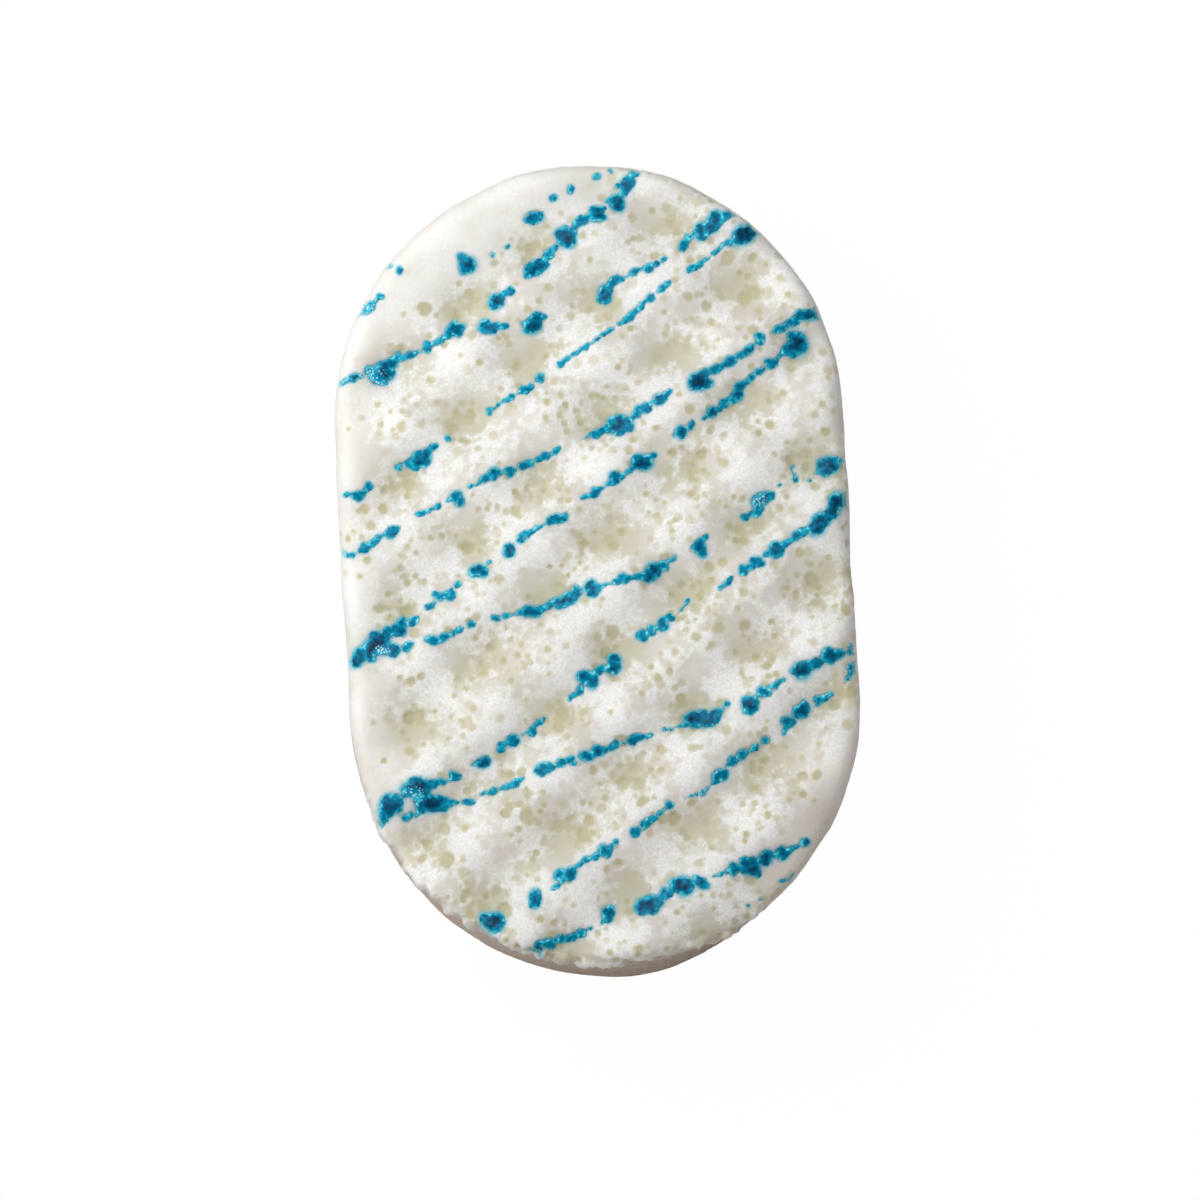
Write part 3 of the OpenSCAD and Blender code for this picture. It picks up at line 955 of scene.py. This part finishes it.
def make_foam():
    finish, tree = new_finish("soapy_foam")
    where = node(tree, "TexCoord").outputs["Object"]
    names = ("pore", "film", "froth", "dimple", "wall", "blue")
    marks = {name: attribute(tree, name) for name in names}
    grain = speckle(tree, where, 1500.0, 3.0)
    fine = speckle(tree, where, 2300.0, 2.0)
    struts = strut_net(tree, where, marks["wall"])
    spot = node(tree, "SeparateXYZ", [(0, where)]).outputs
    # 0 in the middle and 1 at the lower end: where the painted shade of the wall and the film lies
    toward_lower_end = spread(tree, spot["Y"], -20 * mm, -half_length)

    base = face_colour(tree, where, grain, fine, marks)
    base = wall_colour(tree, base, spot, struts, toward_lower_end, marks["wall"])
    # the film at the lower end gets the painted warm shade
    tinge = times(tree, times(tree, marks["film"], toward_lower_end), 0.7)
    base = blend(tree, tinge, base, film_warm_shade)
    base = blend(tree, marks["pore"], base, pore_honey)
    blotchy = spread(tree, grain, 0.3, 0.6, 0.5, 1.0)
    halo = times(tree, calc(tree, "POWER", marks["blue"], 2.6), blotchy)
    base = blend(tree, halo, base, crept_dye)

    relief = calc(tree, "ADD", grain, times(tree, fine, 0.6))
    relief = calc(tree, "ADD", relief, times(tree, struts, 1.5))
    strength = spread(tree, marks["film"], 0.0, 0.9, 1.0, 0.6)
    inputs = [("Strength", strength), ("Distance", bump_height), ("Height", relief)]
    bump = node(tree, "Bump", inputs)
    shader = node(tree, "BsdfPrincipled", [
        ("Base Color", base),
        ("Roughness", spread(tree, marks["pore"], 0.0, 1.0, 0.75, 0.5)),
        ("Normal", bump.outputs[0]),
        ("Subsurface Weight", 1.0),
        ("Subsurface Radius", (1.0, 0.93, 0.84)),
        ("Subsurface Scale", light_depth),
        ("Specular IOR Level", 0.2),
    ])
    node(tree, "OutputMaterial", [("Surface", shader.outputs[0])])
    return finish


sponge.data.materials.clear()
sponge.data.materials.append(make_foam())
print("foam finished")

# %% [markdown]
# ### Blue soap
# Clear blue soap looks pale where it is thin and almost navy where it is deep. It could be
# made of real clear soap that light goes through, but that renders slowly and bakes
# badly. Here a colour ramp follows the stored thickness. It has a soft gloss, and a few
# drops hold tiny white bubbles.

# %% The drizzle's finish
# colour of the soap at each depth, from 0 where it is thinnest to 1
soap_tones = (
    (0.0, (130, 212, 222)),
    (0.1, (36, 176, 202)),
    (0.24, (0, 130, 164)),
    (0.5, (0, 82, 115)),
    (0.7, (0, 50, 76)),
    (1.0, (0, 40, 62)),
)
bubble_white = colour(214, 236, 240)


def soap_ramp(tree, depth):
    ramp = node(tree, "ValToRGB", [("Fac", depth)])
    stops = ramp.color_ramp.elements
    stops.remove(stops[1])
    stops[0].color = colour(*soap_tones[0][1])
    for at, tone in soap_tones[1:]:
        stops.new(at).color = colour(*tone)
    return ramp.outputs[0]


def make_blue_soap():
    finish, tree = new_finish("blue_soap")
    where = node(tree, "TexCoord").outputs["Object"]
    bubbly = attribute(tree, "bubbly")
    uneven = calc(tree, "SUBTRACT", speckle(tree, where, 1000.0, 2.0), 0.5)
    depth = calc(tree, "ADD", attribute(tree, "thickness"), times(tree, uneven, 1.3))
    depth = times(tree, depth, spread(tree, bubbly, 0.0, 1.0, 0.5, 0.22))

    dots = node(tree, "TexVoronoi", [("Vector", where), ("Scale", 2300.0)])
    dots = spread(tree, dots.outputs["Distance"], 0.25, 0.45, 1.0, 0.0)
    bubbles = times(tree, dots, bubbly)
    base = blend(tree, times(tree, bubbles, 0.7), soap_ramp(tree, depth), bubble_white)
    relief = speckle(tree, where, 900.0, 2.0)
    bump = node(tree, "Bump", [("Strength", 0.3), ("Distance", 0.1 * mm), ("Height", relief)])
    shader = node(tree, "BsdfPrincipled", [
        ("Base Color", base),
        ("Roughness", spread(tree, bubbles, 0.0, 1.0, 0.4, 0.6)),
        ("Normal", bump.outputs[0]),
        ("Specular IOR Level", 0.08),
    ])
    node(tree, "OutputMaterial", [("Surface", shader.outputs[0])])
    return finish


drizzle.data.materials.clear()
drizzle.data.materials.append(make_blue_soap())
print("blue soap finished")

# %% [markdown]
# ## Join the frame
# Both pieces ride on the one body of the CAD model and stand for its nodes, which are
# hidden. The sponge is soft, but a block of foam keeps its shape without any simulation.

# %% Ride and replace
for piece, cad_node, slot_name in ((sponge, "sponge", "foam"), (drizzle, "drizzle", "blue_soap")):
    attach(piece, "root")
    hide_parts(cad_node)
print("pieces ride on root")

# %% [markdown]
# ## Stage, light and camera
# The floor is plain and white. To the camera it is almost as bright as paper, and a
# small part of it stays an ordinary surface, so the sponge's soft shadow is kept.

# %% Floor
paper_share = 0.96
paper_brightness = 1.02
floor_gap = 0.1 * mm


def make_floor():
    finish, tree = new_finish("white_floor")
    ray = node(tree, "LightPath").outputs
    seen = calc(tree, "MAXIMUM", ray["Is Camera Ray"], ray["Is Glossy Ray"])
    seen = calc(tree, "MAXIMUM", seen, ray["Is Transmission Ray"])
    plain = node(tree, "BsdfDiffuse", [("Color", colour(205, 202, 199))])
    white = [("Color", (1.0, 1.0, 1.0, 1.0)), ("Strength", paper_brightness)]
    paper = node(tree, "Emission", white)
    layers = [(0, times(tree, seen, paper_share)), (1, plain.outputs[0]), (2, paper.outputs[0])]
    mixed = node(tree, "MixShader", layers)
    node(tree, "OutputMaterial", [("Surface", mixed.outputs[0])])
    return finish


bpy.ops.object.select_all(action="DESELECT")
bpy.ops.mesh.primitive_plane_add(size=8, location=(0, 0, -floor_gap))
floor = bpy.context.object
floor.name = "floor"
floor.data.materials.append(make_floor())
print("floor laid")

# %% [markdown]
# One large soft lamp stands high at the upper left, so that the dimples cast only soft
# shade. The world fills the rest with an even white light at less than half strength.

# %% Lamp and world
lamp_place = Vector((-0.15, 0.09, 0.31))
world_strength = 0.44

lamp = bpy.data.lights.new("key_lamp", "AREA")
lamp.shape = "DISK"
lamp.size = 0.30
lamp.energy = 1.0
lamp.color = (1.0, 1.0, 0.99)
key_lamp = bpy.data.objects.new("key_lamp", lamp)
bpy.context.scene.collection.objects.link(key_lamp)
key_lamp.location = lamp_place
beam = Vector((0, 0, top)) - lamp_place
key_lamp.rotation_euler = beam.to_track_quat("-Z", "Y").to_euler()

world = bpy.data.worlds.new("studio")
bpy.context.scene.world = world
world.use_nodes = True
background = world.node_tree.nodes["Background"].inputs
background["Color"].default_value = (1.0, 0.99, 0.98, 1.0)
background["Strength"].default_value = world_strength
lamp_height = math.degrees(math.asin(-beam.normalized().z))
print(f"the lamp stands {lamp_height:.0f} degrees above the floor")

# %% [markdown]
# The sponge is seen almost from straight above, a little from its lower end, through a
# long lens from far away, so that the sides don't lean. The view is turned a few degrees.

# %% Camera
# angles in degrees: above the floor, round from the lower end, and of the turned view
height_angle = 84.2
side_angle = 6.0
lean = 3.1
# distance from the face, and how much of it the view takes in
distance = 1.6
field = 211.4 * mm
look_at = Vector((0.3 * mm, -7.0 * mm, top))

camera_data = bpy.data.cameras.new("camera")
camera_data.sensor_width = 36
camera_data.lens = 36 * distance / field
camera = bpy.data.objects.new("camera", camera_data)
bpy.context.scene.collection.objects.link(camera)
up_angle, turn = math.radians(height_angle), math.radians(side_angle)
flat_part = math.cos(up_angle)
toward = Vector((math.sin(turn) * flat_part, -math.cos(turn) * flat_part, math.sin(up_angle)))
camera.location = look_at + distance * toward
up = Vector((math.sin(math.radians(lean)), math.cos(math.radians(lean)), 0))
right = up.cross(toward).normalized()
up = toward.cross(right)
turned = Matrix((right, up, toward)).transposed().to_4x4()
camera.matrix_world = Matrix.Translation(camera.location) @ turned
bpy.context.scene.camera = camera
bpy.context.scene.view_settings.view_transform = "Standard"
print("camera", [round(v, 3) for v in camera.location])
